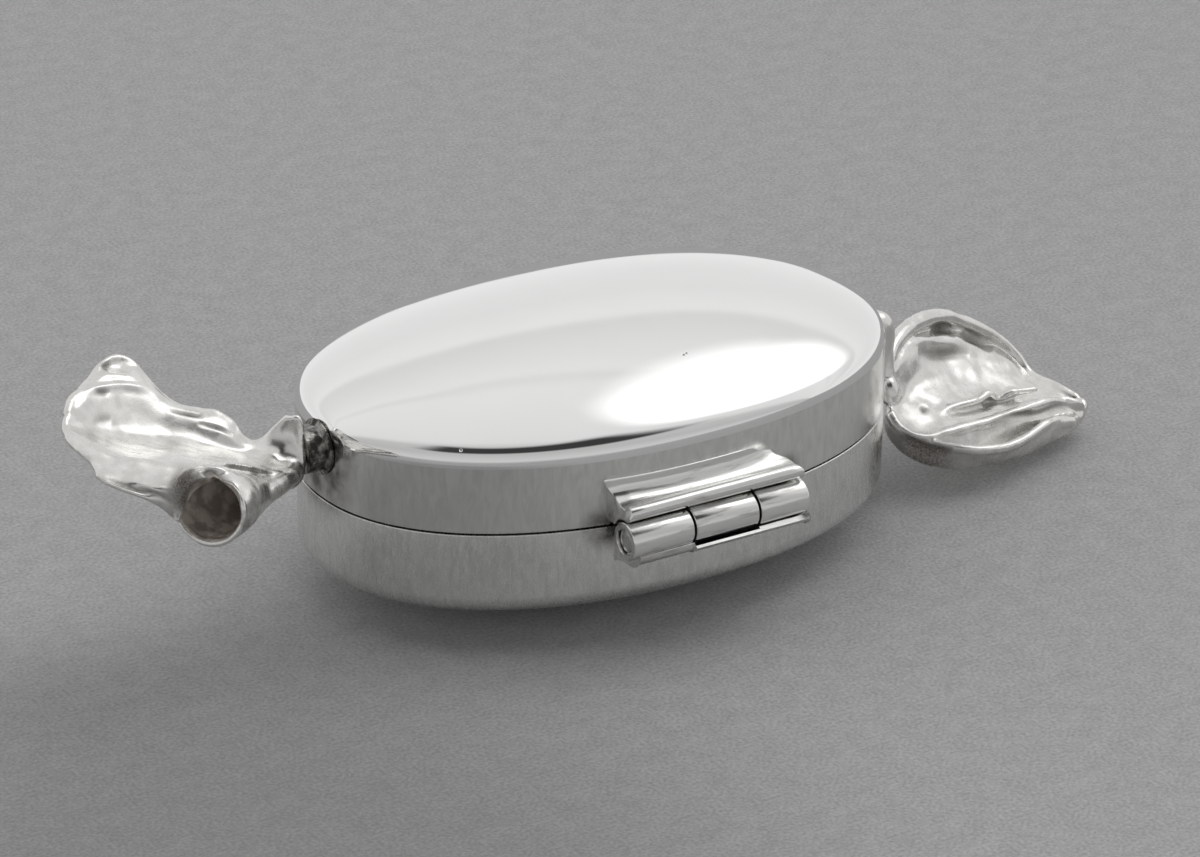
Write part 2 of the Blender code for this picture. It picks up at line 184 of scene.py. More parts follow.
def oval_steps(start, rings):
    """Extrudes the selected outline through rings given as (half length, half width, height)."""
    for ring in rings:
        extrude_up(ring[2] - start[2])
        bpy.ops.transform.resize(
            value=(ring[0] / start[0], ring[1] / start[1], 1),
            center_override=(0, 0, ring[2]),
        )
        start = ring


def finish(piece, smooth_angle=35):
    """Welds doubled corners, turns the faces outwards and shades smooth up to an angle."""
    edit_all()
    bpy.ops.mesh.remove_doubles(threshold=same_place)
    face_outwards()
    bpy.ops.object.shade_smooth_by_angle(angle=math.radians(smooth_angle))
    return piece


def even(inset, height):
    """A ring set in by the same amount all round."""
    return half_length - inset, half_width - inset, height


def crowned(inset, height):
    """A ring set in evenly near the edge, and in proportion towards the middle."""
    stretch = 1 + (half_length / half_width - 1) * inset / half_width
    return half_length - inset * stretch, half_width - inset, height


def place(point):
    """Point in metres from millimetres, its height counted from the split between lid and base."""
    return Vector((point[0] / 1000, point[1] / 1000, split_level + point[2] / 1000))


def cover(piece, material):
    piece.data.materials.clear()
    piece.data.materials.append(material)


def dress(piece, material, body, *stands_for):
    """Gives a finished piece its material and body, and hides the nodes that it stands for."""
    cover(piece, material)
    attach(piece, body)
    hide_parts(*stands_for)


# Materials

def unevenness(tree, spans, detail=2, curl=0):
    """Soft noise with lumps of the given sizes in millimetres along X, Y and Z, curled on request."""
    spot = add(tree, "TexCoord")
    stretched = add(tree, "Mapping", {
        "Vector": spot.outputs["Object"], "Scale": [1000 / span for span in spans],
    })
    return add(tree, "TexNoise", {
        "Vector": stretched.outputs[0], "Scale": 1, "Detail": detail, "Distortion": curl,
    }).outputs["Fac"]


def between(tree, amount, low, high, start=0.35, end=0.65, **settings):
    """A number that runs from low to high while the amount runs from start to end."""
    return add(tree, "MapRange", {
        "Value": amount, "From Min": start, "From Max": end, "To Min": low, "To Max": high,
    }, **settings).outputs[0]


def eased(tree, amount, low, high, start, end):
    """A number between two others, as between gives it, with a soft beginning and end."""
    return between(tree, amount, low, high, start, end, interpolation_type="SMOOTHSTEP")


def reckon(tree, operation, first, second, **settings):
    """What an operation makes of two numbers."""
    return add(tree, "Math", {0: first, 1: second}, operation=operation, **settings).outputs[0]


def blended(tree, amount, low, high):
    """A colour between two colours."""
    return add(tree, "Mix", {0: amount, 6: low, 7: high}, data_type="RGBA").outputs[2]


def surface(name, metallic=1):
    """A new material, solid silver unless told otherwise, with its nodes and the surface's own node."""
    material = bpy.data.materials.new(name)
    material.use_nodes = True
    tree = material.node_tree
    shader = tree.nodes["Principled BSDF"]
    feed(tree, shader, {"Metallic": metallic})
    return material, tree, shader


def near_place(tree, centre, inner, outer):
    """Share that is 1 within the inner distance of a place and 0 beyond the outer one, in millimetres."""
    spot = add(tree, "TexCoord")
    distance = add(tree, "VectorMath", {0: spot.outputs["Object"], 1: centre}, operation="DISTANCE")
    return eased(tree, distance.outputs["Value"], 1, 0, inner / 1000, outer / 1000)


def coat(tree, shader, tone, roughness):
    """Feeds the surface its colour and its roughness."""
    feed(tree, shader, {"Base Color": tone, "Roughness": roughness})


def relief(tree, shader, *hills):
    """Gives the surface small hills, kind upon kind, each as high as its depth in metres."""
    below = {}
    for height, depth in hills:
        bump = add(tree, "Bump", {"Height": height, "Strength": 1, "Distance": depth, **below})
        below = {"Normal": bump.outputs[0]}
    feed(tree, shader, below)


def mirror_silver():
    """Mirror-polished sheet: crisp reflections, with the haze of fine wiping marks and a few small nicks."""
    material, tree, shader = surface("mirror polished silver")
    haze = unevenness(tree, (3, 3, 3), 4)
    tone = blended(tree, haze, srgb("#f6f6f5"), srgb("#fafaf9"))
    dents = 0
    for *spot, size in nicks:
        dent = near_place(tree, place(spot), size * 0.2, size)
        tone = blended(tree, dent, tone, srgb("#8a8784"))
        dents = reckon(tree, "ADD", dents, dent)
    coat(tree, shader, tone, between(tree, haze, 0.035, 0.075))
    relief(tree, shader, (unevenness(tree, (6, 6, 6), 1), 0.000006), (dents, -0.00006))
    return material


def buffed_silver(name, dark, light, roughness):
    """Buffed wall: short upright waves left by the wheel, which smear what the wall reflects, and the
    stains that the torch left where the stem and the hinge were soldered on; by the stem the stain is
    also a painted reflection of the dark stem and the shade beside it."""
    material, tree, shader = surface(name)
    waves = unevenness(tree, (0.42, 0.42, 1.5), 3, 0.8)
    fine = unevenness(tree, (0.14, 0.14, 0.5), 2)
    patches = between(tree, unevenness(tree, (1.1, 1.1, 1.1), 4), 0.5, 1.0)
    tone = blended(tree, between(tree, waves, 0, 1), srgb(dark), srgb(light))
    for centre, inner, outer in stains_and_painted_reflection:
        share = reckon(tree, "MULTIPLY", near_place(tree, centre, inner, outer), patches)
        # Stain colour; by the stem it is also a painted reflection of the dark stem and its shade
        tone = blended(tree, share, tone, srgb("#5c5956"))
    coat(tree, shader, tone, between(tree, fine, roughness * 0.7, roughness * 1.3))
    relief(tree, shader, (waves, 0.000006), (fine, 0.000002))
    return material


def cast_silver_finish():
    """Lost-wax casting, polished by hand: bright rims and satin hollows, with tarnish left in the pits,
    painted shade laid dark along the gaps, the rolled-in mouth and the underside, and a brown crust left
    inside the cone."""
    material, tree, shader = surface("hand polished cast silver")
    mottle = unevenness(tree, (0.9, 0.9, 0.9), 3)
    speckle = unevenness(tree, (0.12, 0.12, 0.12), 3)
    tarnish_and_shade, oxide = [
        add(tree, "Attribute", attribute_name=name).outputs["Fac"] for name in ("tarnish_and_shade", "oxide")
    ]
    clean = blended(tree, between(tree, mottle, 0, 1, 0.38, 0.62), srgb("#dddcd9"), srgb("#ecebe8"))
    # Tarnish colour, also used as painted shade in the gaps, the rolled-in mouth and the underside
    dull = blended(tree, between(tree, speckle, 0, 1), srgb("#4c4845"), srgb("#8f8982"))
    crust = blended(tree, between(tree, mottle, 0, 1, 0.4, 0.6), srgb("#a0978e"), srgb("#d8cfc6"))
    rough = add(tree, "Mix", {0: tarnish_and_shade, 2: between(tree, mottle, 0.18, 0.32), 3: 0.5})
    coat(tree, shader, blended(tree, oxide, blended(tree, tarnish_and_shade, clean, dull), crust), rough.outputs[0])
    bare = reckon(tree, "SUBTRACT", 1.0, tarnish_and_shade)
    feed(tree, shader, {"Metallic": reckon(tree, "SUBTRACT", bare, oxide, use_clamp=True)})
    relief(tree, shader, (mottle, 0.000012), (speckle, 0.000004))
    return material


def solder_finish():
    """Solder left black by the torch, rubbed grey where a cloth reaches it."""
    material, tree, shader = surface("fire darkened solder")
    patches = unevenness(tree, (0.6, 0.5, 0.9), 5)
    tone = blended(tree, between(tree, patches, 0, 1, 0.42, 0.62), srgb("#3c3a38"), srgb("#a3a19d"))
    coat(tree, shader, tone, between(tree, patches, 0.45, 0.22))
    relief(tree, shader, (patches, 0.00008))
    return material


def drawn_finish(name, tone, grime, roughness):
    """Drawn or filed silver: fine lines along the length and worn, soft reflections, grime in places."""
    material, tree, shader = surface(name)
    lines = unevenness(tree, (2.5, 0.10, 0.10), 3)
    wear = unevenness(tree, (2.2, 0.35, 0.35), 4)
    worn = blended(tree, between(tree, wear, 0, 1, 0.56, 0.78), srgb(tone), srgb(grime))
    coat(tree, shader, worn, between(tree, wear, roughness * 0.6, roughness * 1.5))
    relief(tree, shader, (lines, 0.000003), (wear, 0.000010))
    return material


# Places where the torch left stains, as (centre, full within, gone beyond), the last two in millimetres; the
# stain by the stem is also a painted reflection of the dark stem and the shade beside it
stem_lo, stem_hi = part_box("left_stem")
bearer_lo, bearer_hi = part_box("lid_hinge_bearer")
stains_and_painted_reflection = (
    ((stem_hi.x, (stem_lo.y + stem_hi.y) / 2, (stem_lo.z + stem_hi.z) / 2 - 0.0008), 1.5, 4.6),
    ((bearer_lo.x - 0.0002, bearer_hi.y, hinge_axis.z + 0.0002), 0.4, 2.0),
    ((bearer_hi.x + 0.0002, bearer_hi.y, hinge_axis.z + 0.001), 0.2, 1.4),
)
# Nicks in the lid as (x, y, height over the split, size), in millimetres
nicks = ((1.25, -8.48, 7.98, 0.13), (1.50, -8.40, 7.99, 0.11), (-15.10, -8.95, 5.55, 0.12))
dome_silver = mirror_silver()
wall_silver = buffed_silver("buffed silver wall", "#dededc", "#ebebe9", 0.20)
# The base's silver is a darker copy of the wall's silver: painted shade for the shadowed felt that the base
# reflects near the box
shaded_base_silver = buffed_silver("buffed silver base", "#d6d6d4", "#e4e4e2", 0.24)
hinge_silver = drawn_finish("drawn silver tube", "#ebebe9", "#b3b0ab", 0.17)
cast_silver = cast_silver_finish()
stem_silver = solder_finish()
pin_silver = drawn_finish("drawn silver wire", "#dcdcda", "#96938e", 0.2)


# Lid, walls and base

# The crown's slope in degrees at distances in millimetres over its edge, counted from the wall
crown_bend = ((0, 90), (0.38, 78), (0.93, 58), (1.43, 42), (2.0, 34.5), (3.2, 28), (4.7, 22.3))


def smooth_along(table, spot):
    """Value of a table at a spot, on a smooth curve through its points."""
    last = len(table) - 1
    index = max(at for at in range(last) if table[at][0] <= spot or at == 0)
    (x0, y0), (x1, y1) = table[index], table[index + 1]
    step = x1 - x0
    part = min(max((spot - x0) / step, 0), 1)
    before = table[max(index - 1, 0)]
    after = table[min(index + 2, last)]
    slope0 = (y1 - before[1]) / (x1 - before[0])
    slope1 = (after[1] - y0) / (after[0] - x0)
    h = part * part * (3 - 2 * part)
    return y0 * (1 - h) + y1 * h + step * (
        slope0 * (part ** 3 - 2 * part ** 2 + part) + slope1 * (part ** 3 - part ** 2)
    )


def crown_profile():
    """The lid's crown from the wall to the middle as (inset, height over the wall): it leaves the wall
    upright, rolls over a soft edge and flattens evenly towards the middle."""
    width = half_width * 1000
    inset = height = along = 0
    points = [(0, 0)]
    step, next_mark = 0.02, 0.12
    while inset < width - 0.4:
        if along < crown_bend[-1][0]:
            tilt = math.radians(smooth_along(crown_bend, along))
            turn_end, slope_start = inset, math.tan(tilt)
        else:
            tilt = math.atan(slope_start * (width - inset) / (width - turn_end))
        inset += step * math.cos(tilt)
        height += step * math.sin(tilt)
        along += step
        if along >= next_mark:
            points.append((inset / 1000, height / 1000))
            # Rings lie closest where the crown turns most
            next_mark += 0.12 if along < 2 else 0.22 if along < 5 else 0.5
    return points


def make_lid_dome():
    outside = crown_profile()
    inside = [(inset, height - plate_thickness) for inset, height in outside if inset > wall_thickness * 1.2]
    piece = oval_start("lid_crown", 0, lid_wall_top)
    first = even(0, lid_wall_top)
    oval_steps(first, [crowned(inset, lid_wall_top + height) for inset, height in outside[1:]])
    bpy.ops.mesh.edge_face_add()
    bpy.ops.mesh.poke()
    pick_edge(piece, lid_wall_top)
    foot = [even(wall_thickness, lid_wall_top), even(wall_thickness, lid_wall_top + inside[0][1])]
    oval_steps(first, foot + [crowned(inset, lid_wall_top + height) for inset, height in inside[::3]])
    bpy.ops.mesh.edge_face_add()
    return finish(piece)


def make_band(name, outer_inset, thickness, foot, top, soft_foot, soft_top):
    """An oval band with softened rims."""
    piece = oval_start(name, outer_inset + soft_foot, foot)
    start = even(outer_inset + soft_foot, foot)
    rings = [
        even(outer_inset + soft_foot * (1 - math.sin(turn)), foot + soft_foot * (1 - math.cos(turn)))
        for turn in quarter[1:]
    ] + [
        even(outer_inset + soft_top * (1 - math.cos(turn)), top - soft_top * (1 - math.sin(turn)))
        for turn in quarter
    ]
    inner = outer_inset + thickness
    oval_steps(start, rings + [even(inner, top), even(inner, foot), start])
    return finish(piece)


def bowl(inset, level, depth, last_share, steps):
    """Rings down a shallow bowl: they shrink in proportion, to the last share of the first size."""
    return [
        ((half_length - inset) * share, (half_width - inset) * share, level - depth * (1 - share ** 2))
        for share in [1 - (1 - last_share) * step / steps for step in range(1, steps + 1)]
    ]


def make_base_bottom():
    """The base plate: a rounded edge, a shallow dome and the flat pad that it rests on."""
    edge = [
        (base_edge_radius * (1 - math.cos(turn)), base_wall_foot - base_edge_radius * math.sin(turn))
        for turn in [base_edge_sweep * step / 10 for step in range(1, 11)]
    ]
    edge_inset, edge_foot = edge[-1]
    pad_share = pad_half_length / (half_length - edge_inset)
    drop = edge_foot / (1 - pad_share ** 2)
    piece = oval_start("base_floor", 0, base_wall_foot)
    start = even(0, base_wall_foot)
    oval_steps(start, [even(*ring) for ring in edge] + bowl(edge_inset, edge_foot, drop, pad_share, 24))
    bpy.ops.mesh.edge_face_add()
    pick_edge(piece, base_wall_foot)
    floor_level = base_wall_foot - plate_thickness
    inside = [even(wall_thickness, base_wall_foot), even(wall_thickness, floor_level)]
    oval_steps(start, inside + bowl(wall_thickness, floor_level, floor_sag, floor_flat_share, 12))
    bpy.ops.mesh.edge_face_add()
    return finish(piece)


dress(make_lid_dome(), dome_silver, "lid", "lid_dome")
lid_wall = make_band("lid_side", 0, wall_thickness, lid_foot, lid_wall_top, edge_softness, 0)
dress(lid_wall, wall_silver, "lid", "lid_wall")
base_wall = make_band("base_side", 0, wall_thickness, base_wall_foot, split_level, 0, edge_softness)
dress(base_wall, shaded_base_silver, "base", "base_wall")
dress(make_base_bottom(), shaded_base_silver, "base", "base_bottom")
rim_lo, rim_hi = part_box("inner_rim")
inner_rim = make_band("guide_rim", half_length - rim_hi.x, rim_thickness, rim_lo.z, rim_hi.z, 0, rim_softness)
dress(inner_rim, wall_silver, "base", "inner_rim")


# Wrapper ends: cast sheets with rolled rims, the folds pressed in after the casting is one body.
# Each line of points runs along a rim or fold, in millimetres, with heights counted from the split.

sheet_thickness = 0.0005
casting_grain = 0.00011
cone_width = 1.12
cone_wall = 0.00026
rolled_in_turn = math.radians(140)
rolled_in_depth = 0.0010
rolled_in_spread = math.radians(42)
wax_waves = ((2.2, 0.08), (0.9, 0.03))

left_back = (
    (-21.56, -0.1, 5.85), (-21.94, 0.2, 5.88), (-22.54, 0.6, 5.13), (-23.23, 1, 4.28), (-23.89, 1.4, 4.02),
    (-24.47, 1.8, 4.43), (-24.92, 2.3, 5.32), (-25.59, 2.9, 5.87), (-26.53, 3.5, 6.05), (-27.5, 4.2, 6.24),
    (-28.24, 4.9, 6.85), (-28.87, 5.8, 7.86), (-29.34, 6.5, 8.68), (-30.09, 6.9, 9.09), (-31.23, 6.4, 9.18),
    (-32.71, 5.3, 8.91), (-33.94, 4.3, 8.71), (-35.09, 3.3, 8.77), (-35.93, 2.3, 8.37),
)
left_fold = (
    (-21.52, -0.2, 4.83), (-22.15, 0.1, 4.71), (-22.94, 0.4, 4.31), (-23.68, 0.8, 3.97), (-24.45, 1, 4.02),
    (-25.13, 1.2, 4.5), (-25.89, 1.5, 5.21), (-26.54, 2, 5.69), (-27.33, 2.5, 6.05), (-28.12, 3, 6.33),
    (-28.72, 3.6, 6.73), (-29.37, 4.1, 7.37), (-30.26, 4.4, 7.84), (-31.3, 4.4, 8.16), (-32.49, 4.1, 8.43),
    (-33.6, 3.7, 8.56), (-34.62, 3.1, 8.59), (-35.43, 2.6, 8.43), (-36.05, 1.9, 8.17),
)
left_middle = (
    (-21.62, -0.5, 3.93), (-22.79, -0.4, 3.78), (-23.92, 0, 3.76), (-25.1, 0.3, 3.87), (-26.31, 0.5, 4.28),
    (-27.53, 0.7, 4.75), (-28.68, 1, 5.17), (-29.84, 1.3, 5.45), (-30.99, 1.6, 5.74), (-32.18, 1.8, 6.14),
    (-33.29, 1.9, 6.62), (-34.38, 1.9, 7.1), (-35.44, 1.8, 7.6), (-36.39, 1.6, 7.99),
)
left_ridge = (
    (-21.78, -0.9, 3.08), (-23.17, -1.2, 3.41), (-24.65, -1.6, 3.86), (-26.29, -2.2, 4.53),
    (-28.05, -2.8, 5.34), (-29.61, -3.3, 5.92), (-30.88, -3.5, 6.24), (-31.99, -3.4, 6.47),
    (-33.07, -3, 6.66), (-34.1, -2.5, 6.88), (-34.94, -1.9, 7.1), (-35.61, -1.2, 7.37), (-36.18, -0.2, 7.68),
    (-36.54, 1.1, 7.9),
)
left_front = (
    (-21.96, -1.3, 2.5), (-23.9, -2.4, 3.41), (-25.57, -3.3, 4.3), (-27.58, -4.4, 5.54), (-29.4, -5.4, 6.54),
    (-31.2, -6, 7.01), (-32.44, -6, 6.83), (-33.1, -6, 6.13), (-34.18, -5.6, 6.23), (-34.89, -4.5, 6.31),
    (-35.64, -3.6, 6.55), (-36.11, -2.6, 6.86), (-36.54, -1.4, 7.35), (-36.67, 0, 7.59), (-36.57, 0.9, 7.73),
)
left_back_fold = (
    (-34.66, 3.7, 8.88), (-33.42, 4.3, 8.72), (-32.18, 4.7, 8.49), (-30.99, 5, 8.2), (-29.94, 5, 7.89),
    (-29, 4.8, 7.5), (-28.42, 4.3, 6.81),
)
left_double_rim = (
    (-28.43, 4.3, 6.73), (-27.76, 3.7, 6.26), (-26.96, 3.2, 6.04), (-26.16, 2.7, 5.79), (-25.51, 2.2, 5.31),
    (-24.79, 1.7, 4.74),
)
left_under_edge = (
    (-36.62, -2.9, 6.76), (-36.3, -4, 6.49), (-35.35, -5, 6.09), (-34.33, -5.6, 5.57), (-33.61, -5.9, 4.88),
    (-32.98, -6, 4.07),
)
left_soft_ridge = (
    (-36.27, -1, 7.64), (-34.93, -1.6, 6.98), (-33.13, -2.6, 6.56), (-31.42, -3.8, 6.4), (-30.13, -4.8, 6.45),
)
left_crescent = (
    (-31.86, -6.9, 7.28), (-31.1, -6.9, 7.07), (-30.33, -6.9, 6.6), (-29.59, -6.8, 5.77), (-29.04, -6.7, 4.9),
    (-28.68, -6.6, 4.2),
)
left_flange = (
    (-21.64, 0, 5.98), (-21.46, -0.2, 5.21), (-21.54, -0.5, 4.17), (-21.73, -0.9, 3.07), (-22.17, -1.3, 2.39),
    (-23.06, -1.8, 2.16),
)
left_pocket = ((-22.11, -0.7, 4), (-22.92, -1, 3.79), (-23.76, -1.3, 3.59), (-24.52, -1.7, 3.41))
left_leaf_hollow = ((-31.65, 6, 9.24), (-31, 6.2, 9.25), (-30.22, 6.2, 8.86), (-29.73, 5.9, 8.45))
left_leaf_band = ((-32.77, 5.2, 8.7), (-31.45, 5.6, 8.7), (-30.05, 5.8, 8.3), (-28.95, 5.4, 7.62))
left_rim_pits = ((-28.13, 4, 6.36), (-27.41, 3.6, 6.17), (-26.75, 3.1, 6.03), (-26.32, 2.9, 5.97))
left_saddle_pits = ((-26.68, 3, 5.44), (-25.97, 2.6, 5.27), (-25.33, 2.3, 5), (-24.76, 2, 4.59))
left_swoosh = ((-22.61, -1.8, 2.86), (-24.35, -3.1, 3.21), (-26.28, -4.7, 3.68), (-27.72, -5.9, 3.87))
left_roll_in = ((-33.62, -5.6, 5.77), (-32.99, -5.8, 6.4), (-32.31, -6, 6.82), (-31.48, -6.4, 7.09))
left_inner_edge = (
    (-33.17, -6.2, 4.19), (-33.15, -6.1, 4.59), (-33.01, -6, 5.15), (-32.8, -6.1, 5.9), (-32.36, -6.2, 6.53),
    (-31.8, -6.4, 6.91), (-31.28, -6.5, 6.95),
)
left_inner_side = (
    (-33.12, -6.6, 4.18), (-32.7, -6.2, 4.46), (-32.28, -5.7, 4.85), (-31.79, -5.4, 5.24),
    (-31.3, -5.3, 5.63), (-30.91, -5.5, 5.9), (-30.45, -6, 6.27),
)
left_outer_band = (
    (-31.53, -5.8, 6.76), (-30.73, -6.2, 6.93), (-29.81, -6.4, 6.56), (-28.87, -6.3, 5.63),
    (-28.13, -6.2, 4.47), (-27.72, -6, 3.46),
)
left_dish_patch = ((-34.54, 1.9, 7.88), (-33.76, 1.9, 7.8), (-33.25, 1.9, 7.58))
left_gap = (
    (-36.49, -3.4, 6.71), (-35.76, -4.2, 6.47), (-34.64, -5, 6.09), (-33.81, -5.6, 5.75),
    (-33.09, -5.9, 5.13),
)
left_fold_pits = ((-33.02, 4.2, 8.67), (-32.5, 4.2, 8.47), (-32.05, 4.2, 8.27))
left_apex = (-22.48, -1.3, 2.39)
left_mouth = (-31.32, -7, 4.81)
right_back = (
    (21.42, -1.8, -2.23), (22.17, -0.9, -1.02), (23.39, 0.3, -0.16), (25.1, 1.6, 0.28), (27.4, 3, 0.12),
    (29.78, 4, -0.41), (31.84, 4.5, -1.27), (33.71, 4.6, -2.32), (35.22, 4.3, -3.37), (36.19, 3.6, -4.44),
    (36.63, 2.4, -5.59), (36.8, -0.1, -5.57), (37.51, -2, -6.06),
)
right_fold = (
    (21.53, -2, -2.47), (22.16, -1.4, -1.4), (23.27, -0.6, -1.09), (25.04, 0.4, -1.29), (26.76, 1.2, -1.7),
    (28.37, 1.8, -2.29), (29.68, 2, -2.66), (30.86, 2, -3.15), (31.98, 1.9, -3.74), (33.04, 1.6, -4.31),
    (34.03, 1.2, -4.91), (34.96, 0.6, -5.49), (35.8, -1, -5.82), (37.34, -2.6, -6.53),
)
right_middle = (
    (21.33, -2.4, -2.56), (22.31, -1.7, -2.62), (23.85, -0.9, -2.85), (25.51, -0.4, -2.99),
    (27.31, -0.2, -3.41), (28.98, -0.2, -4.02), (30.27, -0.5, -4.5), (31.73, -0.8, -4.94),
    (33.12, -1.2, -5.34), (34.35, -1.8, -5.54), (35.75, -2.2, -5.94), (37.1, -2.8, -6.62),
)
right_front = (
    (21.14, -2.8, -2.79), (21.16, -3.6, -3.43), (21.67, -4.5, -3.99), (22.84, -4.9, -4.26),
    (24.46, -4.9, -4.28), (26.15, -4.8, -4.29), (28.26, -4.6, -4.43), (30.7, -4.2, -4.5), (33.3, -3.6, -4.69),
    (35.13, -3.2, -5.27), (36.63, -3.2, -6.58),
)
right_valley = (
    (21.65, -1.6, -2.51), (22.49, -0.7, -1.6), (23.72, 0.5, -1.03), (25.51, 1.9, -0.73), (27.67, 3.2, -0.96),
    (29.9, 4.1, -1.5), (31.95, 4.6, -2.15), (33.34, 4.5, -3.09), (34.75, 4.2, -3.89), (35.71, 3.5, -4.74),
    (36.24, 2.2, -5.72), (36.49, -0.3, -5.72), (37.54, -2.2, -6.28),
)
right_inner_roll = (
    (21.52, -1.9, -2.43), (22.15, -1.3, -1.44), (23.25, -0.4, -0.87), (24.81, 0.8, -0.52),
    (26.19, 1.6, -0.62), (27.54, 2.1, -0.97), (29.07, 2.6, -1.42), (30.38, 2.9, -1.83), (31.65, 2.9, -2.63),
    (32.86, 2.8, -3.31), (33.92, 2.6, -4), (34.92, 2.2, -4.67), (35.72, 1.5, -5.71), (36.27, -0.6, -5.86),
    (37.48, -2.4, -6.42),
)
right_first_ridge = (
    (24.9, -2.9, -3.86), (26.33, -2.5, -3.84), (27.62, -2.3, -3.93), (28.99, -2, -4.07), (30.11, -1.6, -4.04),
    (30.96, -1.6, -4.61), (31.94, -1.6, -4.4), (33.11, -1.6, -4.52), (34.29, -1.6, -4.65),
)
right_first_groove = (
    (25.24, -2.9, -4.23), (26.67, -2.5, -4.21), (27.97, -2.3, -4.37), (29.34, -2, -4.52),
    (30.46, -1.6, -4.56), (31.38, -1.6, -4.7), (32.29, -1.6, -4.7), (33.46, -1.6, -4.82),
)
right_slit_left = ((28.67, 3, -0.82), (29.96, 3.4, -1.04), (31.14, 3.5, -1.78))
right_slit_right = ((31.63, 3.6, -2), (32.91, 3.7, -2.7), (34.14, 3.5, -3.64))
right_pod_slit = (
    (27.79, -4.8, -4.46), (29.89, -4.4, -4.53), (32.2, -4.2, -4.93), (34.34, -3.8, -5.07),
    (35.6, -3.4, -5.74),
)
right_hollow = (
    (26.25, 1.2, -1.14), (27.47, 1.5, -1.6), (28.85, 1.8, -2.03), (30.24, 2.1, -2.38), (31.32, 2.2, -2.74),
)
right_under_back = (
    (23.03, -5.1, -4.52), (25.04, -5, -4.53), (27.14, -4.8, -4.6), (29.33, -4.5, -4.72), (31.77, -4.1, -4.72),
    (34.4, -3.5, -5.13), (36.31, -3.5, -6.39),
)
right_keel = (
    (22.96, -5.2, -4.53), (24.52, -5.8, -5.76), (27.15, -5.8, -6.54), (30, -5.3, -6.91), (32.52, -4.8, -6.9),
    (34.48, -4.2, -7.01), (36.1, -3.6, -7.04),
)
right_lip = (
    (22.89, -5.3, -4.48), (23.52, -6, -4.57), (24.4, -6.8, -4.69), (25.89, -7, -5.04), (27.84, -6.8, -5.36),
    (29.85, -6.3, -5.39), (32.16, -5.4, -5.26), (34.26, -4.4, -5.78), (36.17, -3.7, -6.5),
)
right_bead = ((31.83, -5.4, -5.33), (33.46, -4.8, -5.73), (35.77, -4, -6.43))
right_tip = ((33.62, -2.2, -5.29), (34.67, -2.5, -5.65), (35.57, -2.9, -6), (36.2, -3.2, -6.33))
right_belly = (
    (21.35, -2.2, -3.51), (21.23, -3, -4.61), (21.45, -4.2, -5.36), (22.19, -5, -5.87), (23.31, -5.7, -6.16),
    (24.89, -6, -6.42), (27.09, -5.9, -6.63),
)
right_belly_top = right_front[:3] + (
    (22.71, -5.1, -4.37), (23.43, -5.9, -4.59), (24.55, -6.6, -4.95), (26.21, -6.8, -5.34),
)
right_belly_pits = ((21.48, -3.4, -3.94), (22.17, -4.4, -4.73), (23.23, -5.2, -5.1), (24.32, -5.6, -5.35))
right_neck_bump = ((22.35, -1, -1.31), (21.96, -1.7, -1.89), (21.66, -2.5, -2.53))
right_boss = (24.27, -2.4, -3.47)
right_neck = (
    (20.8, 0, 2), (21.55, 0, 2), (21.95, -0.15, 1.35), (22.05, -0.5, 0.4), (22.05, -0.95, -0.7),
    (21.95, -1.45, -1.8), (21.85, -2, -2.6),
)
# The paper cone's radius in millimetres at shares of its length
flute_profile = ((0, 0.30), (0.35, 0.86), (0.6, 1.45), (0.8, 1.96), (0.92, 2.16), (1, 2.10))
# The way from the box towards the photograph's camera, from where the folds were pressed
tool_side = (-0.484, -0.771, 0.413)


def through(points, share):
    """Point on the smooth curve through the points, at a share of its length from 0 to 1."""
    last = len(points) - 1
    index = min(int(share * last), last - 1)
    part = share * last - index
    start, end = points[index], points[index + 1]
    before, after = points[max(index - 1, 0)], points[min(index + 2, last)]
    return 0.5 * (
        2 * start + (end - before) * part + (2 * before - 5 * start + 4 * end - after) * part ** 2
        + (3 * start - before - 3 * end + after) * part ** 3
    )


def make_sheet(rows, thickness=sheet_thickness):
    """Sheet from the neck to the tip, through rows of points that run from its back to its front rim."""
    bpy.ops.mesh.primitive_grid_add(x_subdivisions=48, y_subdivisions=80, size=1)
    sheet = bpy.context.object
    rows = [[place(point) for point in row] for row in rows]
    for corner in sheet.data.vertices:
        across, along = corner.co.x + 0.5, corner.co.y + 0.5
        corner.co = through([through(row, along) for row in rows], across)
    face_outwards()
    return with_modifier(sheet, "wall", "SOLIDIFY", thickness=thickness, offset=0)


def make_rope(points, radii, steps=8):
    """Round bar along the smooth line through the points; its radii in millimetres are spread evenly."""
    points = [place(point) for point in points]
    radii = [(at / (len(radii) - 1), radius) for at, radius in enumerate(radii)]
    count = (len(points) - 1) * steps
    rope = prism(16, count)
    for corner in rope.data.vertices:
        share = corner.co.z / count
        heading = through(points, min(share + 0.01, 1)) - through(points, max(share - 0.01, 0))
        end = min(share, 1 - share) * count
        # The last two rings narrow to a rounded end
        radius = smooth_along(radii, share) * math.sqrt(min((end + 0.6) / 2, 1)) / 1000
        flat = Vector((corner.co.x * radius, corner.co.y * radius, 0))
        corner.co = through(points, share) + heading.to_track_quat("Z", "Y") @ flat
    face_outwards()
    return rope


cone_start, cone_mouth = place(left_apex), place(left_mouth)
cone_length = (cone_mouth - cone_start).length
cone_turn = (cone_mouth - cone_start).to_track_quat("Z", "Y")


